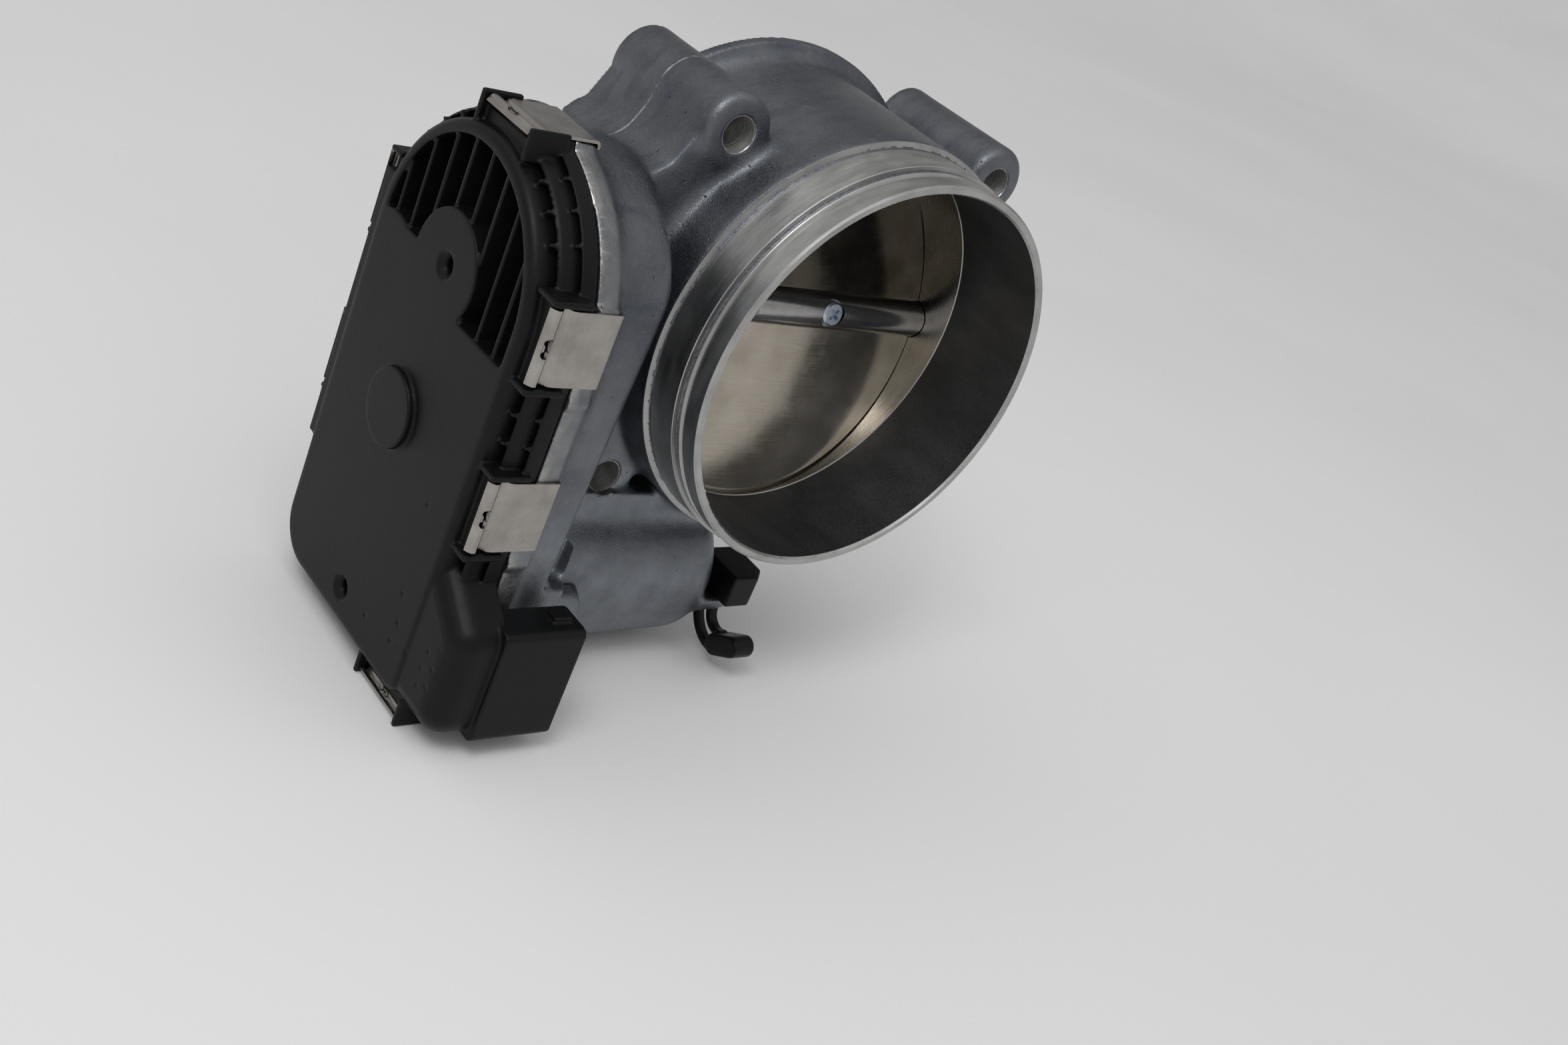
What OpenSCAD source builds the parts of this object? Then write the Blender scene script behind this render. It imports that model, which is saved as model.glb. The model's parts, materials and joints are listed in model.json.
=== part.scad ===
// Electronic throttle body: a cast air tube with a butterfly plate on a cross shaft, a gear case on one
// side of it, and a motor slung beneath. The origin is the middle of the engine flange face, +Y points
// into the engine, +X runs along the shaft away from the gear cover and +Z is up. Millimetres.

/* [Air bore] */
// Radius of the machined bore where the plate closes
bore_r = 41; // [40.5:0.1:41.2]
// Distance from the shaft to the engine flange face
flange_y = 23; // [22:0.5:25]
// Distance from the shaft to the intake lip
lip_y = 33.9; // [32:0.1:36]
// Radius of the engine flange rim
flange_r = 49; // [48:0.5:51]
// Spacing of the bolt holes along the shaft
bolt_gap_x = 73; // [72:0.5:75]
// Spacing of the bolt holes across the shaft
bolt_gap_z = 74; // [73:0.5:75]
// Radius of a bolt hole
bolt_hole_r = 3.5; // [3.2:0.1:3.6]

/* [Throttle plate and shaft] */
// Radius of the shaft inside the bore
shaft_r = 4.25; // [4.2:0.01:4.3]
// Thickness of the plate
plate_t = 1.8; // [1.6:0.1:2]
// Tilt of the plate when the throttle is closed
closed_tilt = 6; // [5:0.5:8]
// Further opening of the plate where the springs let it rest
rest_open = 5.5; // [4:0.5:6]
// Gap between the closed plate and the bore
plate_gap = 0.12; // [0.1:0.01:0.2]

/* [Gear case] */
// Half width of the case at its rim
case_w = 30.3; // [30.2:0.1:30.5]
// Thickness of the case wall at the rim
case_wall = 3.1; // [3:0.1:3.2]

/* [Gears] */
// Teeth of the full circle that the sector is part of
sector_teeth = 50; // [50:1:50]
// Teeth of the small wheel of the intermediate gear
small_teeth = 17; // [17:1:17]
// Teeth of the large wheel of the intermediate gear
large_teeth = 60; // [60:1:60]
// Teeth of the motor pinion
pinion_teeth = 14; // [14:1:14]

/* [Hidden] */
$fn = 64;
eps = 0.01;

// Planes of the gear case and the cover, all measured along the shaft from the middle of the bore
face_x = -81;          // outer face of the cover
face_t = 2;            // thickness of that face
parting_x = -70;       // rim of the case
cover_gap = 0.2;       // the seal keeps the cover this far off the rim
floor_x = -53;         // inner face of the case floor
back_x = -50.5;        // outer face of that floor
step_x = -56.5;        // the gear space is narrower beyond this, to match the rounded back
rim_x = -65.3;         // the thicker rim starts here, and the clips hook behind it
boss_front = -9.5;     // front end of the bolt bosses, in Y
case_drop = 49;        // how far the bottom of the case is below a circle about the shaft
front_c = 22;          // the corner arc at the intake side is centred this far from the middle
rear_c = 17;           // and the one at the engine side this far

// Gear train
sector_m = 1.0;
motor_m = 0.75;
inter_z = -sector_m * (sector_teeth + small_teeth) / 2;
motor_z = inter_z - motor_m * (large_teeth + pinion_teeth) / 2;
backlash = 0.16;
sector_x = [-66, -61];
small_x = [-67.6, -60.4];
large_x = [-72.4, -68.6];
pinion_x = [-73.4, -67.6];

// Motor
can_r = 15.2;
can_x = [-55, -8];
motor_house_r = 18;
motor_end_x = -2;

// Shaft journals, bearings and seals
journal_r = 4;
seat_r = 6.3;
cup_x = [-56.5, -46.5];
ball_x = [46, 51];
ball_seat_r = 8;
far_boss_x = 56;

// Tongue at the end of the motor housing, which holds the cable strap
tongue_z = [-67.4, -64.2];

// Connector
plug_x = [-70.2, -54];
plug_y = [-40.4, -30.8];
plug_z = [-76, -51.5];
plug_wall = 1.4;
pin_rows = [-37.3, -33.9];
pin_columns = [-70.4, -63.75, -57.1];

// Each clip: turn about the shaft axis, and the Y and Z that its own frame is moved by
clip_spots = [
    [0, 0, 1.9], [0, 0, -32],
    [180, 0, 1.9], [180, 0, -32],
    [90, -1.5, 0], [-90, -19.5, -case_drop]
];
clip_w = 14.4;
guard_w = 1.1;         // thickness of the guard beside a clip

// Screws of the motor and of the plate, each pair this far to both sides of the middle
motor_screw_y = 19;
plate_screw_x = 12.2;

// ---- helpers: everything is drawn about the point where the shaft crosses the bore axis ----
module from_shaft() translate([0, -flange_y, 0]) children();
module rod_x(x, r, y = 0, z = 0)
    translate([x[0], y, z]) rotate([0, 90, 0]) cylinder(h = x[1] - x[0], r = r);
module tube_x(x, r_in, r_out, y = 0, z = 0) difference() {
    rod_x(x, r_out, y, z);
    rod_x([x[0] - 1, x[1] + 1], r_in, y, z);
}
module rod_y(y, r, x = 0, z = 0)
    translate([x, y[0], z]) rotate([-90, 0, 0]) cylinder(h = y[1] - y[0], r = r);
module box(x, y, z)
    translate([x[0], y[0], z[0]]) cube([x[1] - x[0], y[1] - y[0], z[1] - z[0]]);
// a flat outline drawn in Y and Z, made solid along X
module slab_x(x) translate([x[0], 0, 0]) rotate([90, 0, 90]) linear_extrude(x[1] - x[0]) children();
// a profile of radius and X, turned about the shaft axis from a0 through a
module turn_x(a = 360, a0 = 0) rotate([a0, 0, 0]) rotate([90, 0, 90]) rotate_extrude(angle = a) children();
function polar(r, a) = [r * cos(a), r * sin(a)];
function arc(c, r, a0, a1, n) = [for (i = [0:n]) c + polar(r, a0 + (a1 - a0) * i / n)];

// outline of the gear case, w from its middle line
module outline(w) {
    circle(r = w);
    translate([-w, -case_drop - front_c]) square([w, case_drop + front_c]);
    translate([0, -case_drop - rear_c]) square([w, case_drop + rear_c]);
    translate([-front_c, -case_drop - w]) square([front_c + rear_c, w - 10]);
    translate([-front_c, -case_drop - front_c]) circle(r = w - front_c);
    translate([rear_c, -case_drop - rear_c]) circle(r = w - rear_c);
}
// a profile of distance from the middle line and X, carried round the same outline
module swept() {
    turn_x(180) children();
    translate([0, 0, -case_drop - rear_c]) mirror([1, -1, 0]) linear_extrude(case_drop + rear_c) children();
    translate([0, 0, -case_drop - front_c]) rotate(-90) linear_extrude(case_drop + front_c) children();
    translate([0, rear_c, -case_drop]) rotate([90, 0, 0]) rotate(-90)
        linear_extrude(front_c + rear_c) children();
    translate([0, rear_c, -case_drop - rear_c]) turn_x(90, -90) translate([-rear_c, 0]) children();
    translate([0, -front_c, -case_drop - front_c]) turn_x(90, 180) translate([-front_c, 0]) children();
}
module at_clip(spot) translate([0, spot[1], spot[2]]) rotate([spot[0], 0, 0]) children();

// ---- gears: involute teeth with a pressure angle of 20 degrees, z teeth of module m, turned by at ----
function inv(a) = tan(a) - a * PI / 180;
function half_angle(z, m, r) = let (rp = m * z / 2, rb = rp * cos(20))
    90 / z - backlash / 4 / rp * 180 / PI + (inv(20) - inv(acos(min(1, rb / r)))) * 180 / PI;
function tooth(z, m, at) = let (rp = m * z / 2, rb = rp * cos(20), ra = rp + 0.85 * m, rf = rp - 1.15 * m,
        r0 = max(rb, rf), steps = 3, wb = half_angle(z, m, r0))
    concat([polar(rf, at - wb)], [for (i = [0:steps]) let (r = r0 + (ra - r0) * i / steps)
        polar(r, at - half_angle(z, m, r))], [for (i = [steps:-1:0]) let (r = r0 + (ra - r0) * i / steps)
        polar(r, at + half_angle(z, m, r))], [polar(rf, at + wb)]);
module gear(z, m, at) polygon([for (k = [0:z - 1]) each tooth(z, m, at + k * 360 / z)]);

// groove for the seal, half of it in the case rim and half in the cover
module seal_groove(x) swept() polygon([[28.1, x[0]], [29.5, x[0]], [29.5, x[1]], [28.1, x[1]]]);

// ---- housing ----
// lip with its double groove, band for the hose, tube and flange, in radius and Y
module air_tube_outside() rotate([-90, 0, 0]) rotate_extrude($fn = 128) polygon([
    [30, -lip_y], [42.6, -lip_y], [43.1, -lip_y + 0.4], [43.1, -29.6],
    [42.6, -29.2], [42.6, -28.7], [43.2, -28.3], [42.7, -27.9], [42.7, -27.4],
    [43.9, -27], [43.9, -19.6], [43.6, -19.2],
    [45.1, -18.6], [45.6, 17.4], [46.6, 19.4], [47.4, 20],
    [flange_r - 0.5, 20], [flange_r, 20.5], [flange_r, flange_y - 0.4], [flange_r - 0.4, flange_y],
    [30, flange_y]
]);
// a long boss for one bolt, and the bridge between it and the tube
module bolt_boss(x, z) {
    translate([x, 0, z]) rotate([-90, 0, 0]) rotate_extrude() polygon([
        [0, boss_front], [6.7, boss_front], [7.8, boss_front + 1.1], [8, flange_y], [0, flange_y]
    ]);
    rotate([0, -atan2(z, x), 0])
        box([43, norm([x, z]) - 5], [boss_front + 0.6, flange_y - 1.5], [-6.2, 6.2]);
}
module case_web(points, y)
    translate([0, y[1], 0]) rotate([90, 0, 0]) linear_extrude(y[1] - y[0]) polygon(points);
module case_wall() swept() polygon([
    [24, back_x], [24.6, back_x], [26.6, back_x - 0.9], [28, back_x - 2.9], [28.4, back_x - 5.5],
    [29.2, rim_x], [case_w, rim_x], [case_w, parting_x],
    [case_w - case_wall, parting_x], [case_w - case_wall, floor_x], [24, floor_x]
]);
module motor_house() translate([0, 0, motor_z]) turn_x() polygon(concat(
    [[0, floor_x], [motor_house_r + 0.6, floor_x]],
    arc([motor_house_r - 5, motor_end_x - 5], 5, 0, 90, 6),
    [[0, motor_end_x]]
));
// the back corner of the case is cut away at the intake side, more so towards the motor
module case_relief() translate([-1.5, 0, -54]) rotate([0, 3, 0]) linear_extrude(70)
    polygon([[-57, -33], [-57, -28.9], [-49.5, -19.6], [-49.5, -33]]);
// bosses in the case, which the gear space is cut round
module case_bosses(x) {
    translate([0, 0, -53]) linear_extrude(60)
        polygon([[-57.4, -27.6], [-57.4, -25.4], [x[1], -18], [x[1], -27.6]]);
    tube_x([x[0] + 3, x[1]], seat_r, 9.5);
    rod_x([x[0], x[1]], 5, 0, inter_z);
    for (y = [-motor_screw_y, motor_screw_y]) rod_x([x[0] + 5, x[1]], 4.4, y, motor_z);
    translate([-64, 12, 20]) cylinder(h = 8.6, r = 4);
    box([x[0] - 6, x[1]], [-27.5, -21.5], [5.9, 9.9]);
}
module throttle_housing() color("slategray") from_shaft() difference() {
    union() {
        air_tube_outside();
        for (x = [-1, 1], z = [-1, 1]) bolt_boss(x * bolt_gap_x / 2, z * bolt_gap_z / 2);
        case_wall();
        slab_x([floor_x, back_x]) outline(24.5);
        for (spot = clip_spots) at_clip(spot) box([parting_x, rim_x], [26, case_w], [-7.6, 7.6]);
        motor_house();
        rod_x([-52, -38], 15);
        rod_x([38, far_boss_x], 11.5);
        // webs between the case and the bosses on its side, and the saddle over the motor
        case_web([
            [-52, 8], [-52, 26], [-47.5, 29], [-44.3, 35.5], [-38, 44],
            [-28, 38], [-36, 20], [-40, 8]
        ], [-8, flange_y]);
        case_web([
            [-52, -12], [-42, -14], [-29.2, -34], [-31.6, -43.4], [-41, -45.2], [-52, -45.2]
        ], [boss_front, flange_y - 3]);
        box([-52, -6], [-11, 13], [-58, -40]);
        case_web([
            [-30, -40], [30, -40], [30, -47], [14, -52], [-8, -56], [-30, -56]
        ], [14, flange_y - 0.6]);
        // nubs on the rim, beside the clips of the intake side
        for (z = [-8.9, -42.8]) rod_x([parting_x, rim_x - 0.2], 1.8, -29.3, z);
        // bosses of the stop screw, the axle, the open stop and the motor screws
        case_bosses([-60, -52]);
        for (y = [-motor_screw_y, motor_screw_y]) rod_x([-53, -42], 4.4, y, motor_z);
        // tongue that carries the strap holder
        translate([0, 0, tongue_z[0]]) linear_extrude(tongue_z[1] - tongue_z[0]) {
            translate([motor_end_x - 3, -17]) square([7, 10]);
            translate([motor_end_x + 4, -12]) circle(r = 5);
        }
    }
    // air bore: machined behind, as cast in front, with a small lead-in at the lip
    rod_y([-10.3, flange_y + 1], bore_r, $fn = 128);
    rod_y([-lip_y - 1, -10], bore_r + 0.25, $fn = 128);
    // gear space, with the shaft boss left standing
    difference() {
        union() {
            slab_x([parting_x - 5, step_x]) outline(case_w - case_wall);
            slab_x([step_x - 1, floor_x]) outline(24.5);
        }
        case_bosses([-60, floor_x + 1]);
    }
    case_relief();
    // shaft passage, bearing seats and seal seats
    rod_x([-58, 47], shaft_r + 0.2);
    rod_x([-58, -43.1], seat_r + 0.02);
    rod_x([43.1, 47], seat_r + 0.02);
    rod_x([ball_x[0] - 0.02, far_boss_x + 1], ball_seat_r + 0.02);
    // motor bore, axle seat, motor screws and stop screw
    rod_x([-56, -5.5], can_r + 0.3, 0, motor_z);
    rod_x([-61, -51.2], 2.5 + eps, 0, inter_z);
    for (y = [-motor_screw_y, motor_screw_y]) rod_x([-56, -44], 1.75, y, motor_z);
    translate([-64, 12, 19]) cylinder(h = 20, r = 2.05);
    // eye in the tongue
    translate([motor_end_x + 4, -12, tongue_z[0] - 1]) cylinder(h = 6, r = 2);
    // bolt holes, each with a broken edge
    for (x = [-1, 1], z = [-1, 1]) translate([x * bolt_gap_x / 2, 0, z * bolt_gap_z / 2]) {
        rod_y([boss_front - 1.5, flange_y + 1], bolt_hole_r);
        translate([0, boss_front - 0.1, 0]) rotate([-90, 0, 0])
            cylinder(h = 0.6, r1 = bolt_hole_r + 0.6, r2 = bolt_hole_r);
    }
    seal_groove([parting_x - 1, -69.1]);
}

// ---- gear cover ----
// Y and Z of the small moulding dimples in the face and in the lobe
dimples = [[-10, -68], [-20.5, -62], [-20, -66.5], [-25.5, -65], [-17.5, -38], [-19, -56.5]];
lobe_dimples = [[-31.5, -60.5], [-34.5, -58], [-31, -64.5], [-34, -62.5], [-31.5, -68], [-34, -66.5]];
// the sunken part of the face, t wider than its opening
module recess(t = 0) difference() {
    circle(r = 24.4 + t);
    translate([0.8, 0.4]) circle(r = 10.6 - t);
    translate([20, -9]) circle(r = 10.6 - t);
    polygon([
        [-32, -6 - t], [-9, -6 - t], [0, -1 - t], [12, 0.6 - t], [32, 0.6 - t], [32, -40], [-32, -40]
    ]);
}
module connector_lobe() hull() for (p = [[-34, -71], [-34, -56], [-20, -71], [-20, -46]]) {
    translate([-75.5, p[0], p[1]]) sphere(r = 5.2, $fn = 32);
    rod_x([-75.5, parting_x - cover_gap], 5.2, p[0], p[1], $fn = 32);
}
module rounded_rect(y, z, r) {
    translate([y[0] + r, z[0]]) square([y[1] - y[0] - 2 * r, z[1] - z[0]]);
    translate([y[0], z[0] + r]) square([y[1] - y[0], z[1] - z[0] - 2 * r]);
    for (a = [y[0] + r, y[1] - r], b = [z[0] + r, z[1] - r]) translate([a, b]) circle(r = r);
}
// skirt in distance from the middle line and X: a rounded shoulder, then two stepped channels
module skirt_profile() polygon(concat(
    [[24, face_x + face_t], [24, face_x]],
    arc([25, face_x + 1.8], 1.8, -90, 0, 5),
    [[26.8, -74], [28.1, -74], [28.1, -77.2], [28.5, -77.3], [29, -76.6], [29, -72.1]],
    [[29.8, -72.1], [29.8, -73.5], [case_w, -73.4], [case_w, parting_x - cover_gap]],
    [[27.2, parting_x - cover_gap], [27.2, -72], [25.2, -73.6], [24.9, face_x + 1.9]]
));
// thin cross ribs in the two channels of the skirt
module channel_rib() {
    box([-78.4, -73.8], [26.5, 28.4], [-0.35, 0.35]);
    box([-74.6, -71.9], [28.7, 30], [-0.35, 0.35]);
}
module channel_ribs() {
    for (a = [36.6, 48.3, 60, 120, 131.7, 143.4]) rotate([a, 0, 0]) channel_rib();
    for (turn = [0, 180], z = [-12.6, -18.3, -49.1])
        translate([0, 0, z]) rotate([turn, 0, 0]) channel_rib();
}
module gear_cover() color("dimgray") from_shaft() difference() {
    union() {
        swept() skirt_profile();
        slab_x([face_x, face_x + face_t]) difference() {
            outline(24.2);
            recess();
        }
        slab_x([face_x + face_t - 0.5, -73.2]) difference() {
            recess(1.4);
            recess();
        }
        slab_x([-74.8, -73.2]) recess(1.4);
        for (y = [-20.2, -14.2, -8.2, -2.2, 3.8, 9.8, 15.8, 21.4]) slab_x([-80.4, -74.5])
            intersection() { recess(0.2); translate([y - 0.45, -30]) square([0.9, 60]); }
        channel_ribs();
        // lip along the engine side that shields the clips there
        slab_x([face_x + 0.3, -78.8]) translate([24, -50]) square([4.2, 57]);
        for (spot = clip_spots) at_clip(spot) {
            box([-75.3, parting_x - cover_gap], [25.5, case_w - 0.1], [-7.8, 7.8]);
            box([-78.6, -75], [25.5, 29], [-7.8, 7.8]);
            // guards to both sides, lower at the engine side
            for (z = [7.8, -7.8 - guard_w])
                box([-80.2, -72], [25.6, spot[0] == 0 ? 29.6 : 31.6], [z, z + guard_w]);
        }
        difference() {
            connector_lobe();
            slab_x([face_x - 1, -60]) outline(24.9);
            box([-78.6, -72.4], [-36.4, -20], [-71.5, -55]);
        }
        slab_x([plug_x[0] - 1.5, plug_x[1]]) rounded_rect(plug_y, plug_z, 1.5);
        box([-60, -56], [-37.1, -34.1], [-52, -50.4]);
        // raised round pad, and the posts behind the face
        rod_x([face_x - 1.5, face_x + 1], 7.7, 2, -29.3);
        rod_x([face_x + 1, -77.5], 3.2, 0.4, 0.8);
        rod_x([face_x + 1, -73.2], 5, 0, inter_z);
        rod_x([face_x + 1, -75.4], 4, 0.4, -69);
    }
    seal_groove([-71.1, parting_x]);
    // connector mouth and pin slots
    slab_x([-67, plug_x[1] + 1]) rounded_rect([plug_y[0] + plug_wall, plug_y[1] - plug_wall],
        [plug_z[0] + plug_wall, plug_z[1] - plug_wall], 0.8);
    for (y = pin_rows, z = pin_columns) box([-75, -66], [y - 0.45, y + 0.45], [z - 0.85, z + 0.85]);
    // two countersunk holes in the face, the axle socket and the moulding dimples
    for (hole = [[0.4, 0.8, 2.8], [0.4, -69, 4.5]]) {
        translate([face_x - eps, hole[0], hole[1]]) rotate([0, 90, 0])
            cylinder(h = 1.2, r1 = 2.7, r2 = 1.4);
        rod_x([face_x - 1, face_x + hole[2]], 1.4, hole[0], hole[1]);
    }
    rod_x([-77.6, -73], 2.6, 0, inter_z);
    for (spot = dimples) rod_x([face_x - 1, face_x + 0.3], 0.45, spot[0], spot[1], $fn = 16);
    for (spot = lobe_dimples) rod_x([face_x - 1, face_x + 0.6], 0.45, spot[0], spot[1], $fn = 16);
}
module cover_seal() color("black") from_shaft() swept()
    polygon([[28.25, -71.1], [29.35, -71.1], [29.35, -69.1], [28.25, -69.1]]);

// spring clip: a bent strip of constant thickness, with a slot near its rolled lip
function along(p, i) = let (d = p[min(i + 1, len(p) - 1)] - p[max(i - 1, 0)]) d / norm(d);
function across(p, i) = let (d = along(p, i)) [-d[1], d[0]];
module strip(p, t) polygon(concat(
    [for (i = [0:len(p) - 1]) p[i] + across(p, i) * t / 2],
    [for (i = [len(p) - 1:-1:0]) p[i] - across(p, i) * t / 2]
));
module clip() difference() {
    translate([0, 0, -clip_w / 2]) linear_extrude(clip_w) strip(concat(
        [[-64.9, 29.5], [-64.95, 30.2]],
        arc([-65.6, 30.1], 0.6, 10, 80, 3),
        [[-74.6, 30.7], [-75.4, 30.5], [-75.9, 30], [-76.4, 29.6], [-76.9, 29.6], [-77.4, 30]],
        [[-77.8, 30.6], [-78.2, 30.95], [-78.7, 30.95], [-79.1, 30.6], [-79.4, 30.1]],
        [[-79.5, 29.8]]
    ), 0.55);
    // slot of two round ends with a narrow waist
    translate([-78.4, 27, 0]) rotate([-90, 0, 0]) {
        for (y = [-1.1, 1.1]) translate([0, y, 0]) cylinder(h = 6, r = 0.8, $fn = 24);
        translate([-0.5, -1.1, 0]) cube([1, 2.2, 6]);
    }
}
module cover_clips() color("silver") from_shaft() for (spot = clip_spots) at_clip(spot) clip();

module connector_pins() color("gold") from_shaft() for (y = pin_rows, z = pin_columns) {
    box([-74.5, -60.5], [y - 0.4, y + 0.4], [z - 0.8, z + 0.8]);
    slab_x([-60.5, -59.8]) translate([y - 0.25, z - 0.5]) square([0.5, 1]);
}
module sensor_board() color("darkgreen") from_shaft() slab_x([-77.3, -76.1]) {
    circle(r = 8);
    translate([-5.5, -22]) square([13.5, 22]);
}
module sensor_chip() color("black") from_shaft() {
    box([-76.1, -74.6], [-2.6, 2.6], [-3, 3]);
    for (y = [-1.8, -0.6, 0.6, 1.8], z = [3, -4.1]) box([-76.1, -75.5], [y - 0.2, y + 0.2], [z, z + 1.1]);
}

// ---- throttle: shaft, plate and sector ----
module at_plate() rotate([-closed_tilt - rest_open, 0, 0]) children();
module throttle_shaft() color("lightgray") from_shaft() difference() {
    union() {
        rod_x([-41.8, 41.8], shaft_r);
        rod_x([-70.4, 52.8], journal_r);
    }
    at_plate() {
        box([-41.3, 41.3], [-plate_t / 2 - 0.03, plate_t / 2 + 0.03], [-10, 10]);
        for (x = [-plate_screw_x, plate_screw_x]) {
            rod_y([-6, 6], 1.55, x);
            rod_y([-6, -3], 3.1, x);
        }
    }
    tube_x([51.25, 52.15], 3.5, 5);
}
module throttle_plate() color("tan") from_shaft() difference() {
    rotate([-rest_open, 0, 0]) intersection() {
        rod_y([-12, 12], bore_r - plate_gap, $fn = 128);
        rotate([-closed_tilt, 0, 0]) box([-50, 50], [-plate_t / 2, plate_t / 2], [-50, 50]);
    }
    at_plate() for (x = [-plate_screw_x, plate_screw_x]) rod_y([-3, 3], 1.6, x);
}
module plate_screw() difference() {
    union() {
        rod_y([-3.2, 4.9], 1.5);
        translate([0, -4.35, 0]) rotate([-90, 0, 0]) rotate_extrude()
            polygon([[0, 0], [2.3, 0], [2.75, 0.45], [2.75, 1.35], [0, 1.35]]);
    }
    for (a = [45, 135]) translate([0, -4.5, 0]) rotate([0, a, 0]) cube([3, 2, 0.8], center = true);
    translate([0, -4.4, 0]) rotate([-90, 0, 0]) cylinder(h = 1, r = 0.8, $fn = 24);
}
module plate_screws() color("lightsteelblue") from_shaft() at_plate()
    for (x = [-plate_screw_x, plate_screw_x]) translate([x, 0, 0]) plate_screw();
// teeth from three before the resting contact to thirteen past it
module sector_gear() color("ivory") from_shaft() {
    first = -3;
    last = 13;
    step = 360 / sector_teeth;
    difference() {
        union() {
            slab_x(sector_x) polygon(concat(
                [[0, 0]],
                [for (k = [first:last]) each tooth(sector_teeth, sector_m, -90 + k * step)]
            ));
            tube_x([-66, -60.6], 7.52, 10.5);
            tube_x([-71, -66], journal_r + 0.04, 9.2);
            // stop arm
            slab_x([-65.6, -61.4]) rotate(31) translate([8, 0]) square([11, 3.4]);
        }
        rod_x([-70, -60], 7.52);
        rod_x([-75, -60], journal_r + 0.04);
        // lightening pockets between the ribs
        for (k = [0:2]) slab_x([-64.4, -60]) rotate(-102 + k * 36) difference() {
            intersection() {
                polygon([[0, 0], polar(40, 0), polar(40, 28)]);
                circle(r = 20.5);
            }
            circle(r = 12.5);
        }
    }
}
module sector_insert() color("gray") from_shaft() difference() {
    rod_x([-69.9, -60.8], 7.5);
    rod_x([-75, -60], journal_r + 0.03);
}
module sensor_magnet() color("darkslategray") from_shaft() tube_x([-73.6, -71.05], 4.6, 7.4);
module shaft_circlip() color("dimgray") from_shaft() difference() {
    tube_x([51.3, 52.1], 3.55, 5.2);
    box([50, 53], [-1.1, 1.1], [0, 8]);
}

// ---- shaft bearings and seals ----
module needle_bearing_cup() color("silver") from_shaft() turn_x() polygon([
    [5.6, cup_x[0]], [seat_r, cup_x[0]], [seat_r, cup_x[1]],
    [4.5, cup_x[1]], [4.5, cup_x[1] - 0.5], [5.6, cup_x[1] - 0.5]
]);
module needle_rollers() color("whitesmoke") from_shaft() for (k = [0:15]) rotate([k * 22.5, 0, 0])
    rod_x([cup_x[0] + 0.6, cup_x[1] - 0.8], 0.74, 4.8, 0, $fn = 24);
module race(r_in, r_out) color("silver") from_shaft() turn_x() difference() {
    translate([r_in, ball_x[0]]) square([r_out - r_in, ball_x[1] - ball_x[0]]);
    translate([6, (ball_x[0] + ball_x[1]) / 2]) circle(r = 1.26, $fn = 48);
}
module ball_bearing_outer_ring() race(6.75, ball_seat_r);
module ball_bearing_inner_ring() race(journal_r + 0.02, 5.25);
module bearing_balls() color("whitesmoke") from_shaft() for (k = [0:9]) rotate([k * 36, 0, 0])
    translate([(ball_x[0] + ball_x[1]) / 2, 6, 0]) sphere(r = 1.2, $fn = 32);
module shaft_seals() color("saddlebrown") from_shaft()
    for (side = [0, 1]) mirror([side, 0, 0]) turn_x() polygon([
        [journal_r + 0.05, 43.3], [seat_r, 43.3], [seat_r, 45.8], [5.6, 45.8],
        [5.6, 44.3], [4.9, 44.3], [4.5, 45.4], [journal_r + 0.05, 44.9]
    ]);
module shaft_end_cap() color("silver") from_shaft() turn_x() polygon([[0, 55.2], [6.6, 55.2], [6.8, 53.4],
    [ball_seat_r, 53.4], [ball_seat_r, 55.6], [7.6, 56], [0, 56]]);

// ---- springs and stops ----
spring_r = 13;
wire_r = 0.85;
coil_x = [-59.9, -54.95];
function coil_path(turns, steps) = [for (i = [0:turns * steps]) let (a = 360 * i / steps + 20) [
    coil_x[0] + (coil_x[1] - coil_x[0]) * i / (turns * steps), spring_r * cos(a), spring_r * sin(a)
]];
function spring_path() = let (c = coil_path(2.5, 36), n = len(c) - 1, s = c[0] - c[1], e = c[n] - c[n - 1])
    concat([c[0] + s * 3, c[0] + s * 1.2], c, [c[n] + e * 1.2, c[n] + e * 2.4]);
// a round wire swept along a path: one ring of sides across each point
function wire_rings(p, r, sides) = [for (i = [0:len(p) - 1])
    let (d = along(p, i), out = cross(d, [1, 0, 0]), u = out / norm(out), v = cross(d, u))
    each [for (k = [0:sides - 1]) p[i] + r * (u * cos(360 * k / sides) + v * sin(360 * k / sides))]];
module wire(p, r, sides = 10) {
    n = len(p);
    polyhedron(wire_rings(p, r, sides), concat(
        [[for (k = [sides - 1:-1:0]) k]], [[for (k = [0:sides - 1]) (n - 1) * sides + k]],
        [for (i = [0:n - 2], k = [0:sides - 1]) let (j = (k + 1) % sides)
            [i * sides + k, i * sides + j, (i + 1) * sides + j, (i + 1) * sides + k]]));
}
module return_spring() color("silver") from_shaft() wire(spring_path(), wire_r);
module spring_bush() color("black") from_shaft() union() {
    tube_x([-60.3, -53.1], 9.6, 11);
    tube_x([-54, -53.1], 9.6, 15.5);
}
module closed_stop_screw() color("dimgray") from_shaft() translate([-64, 12, 0]) difference() {
    translate([0, 0, 14.6]) cylinder(h = 13.4, r = 2);
    translate([0, 0, 26]) cylinder(h = 4, r = 1.1, $fn = 6);
}

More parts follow.
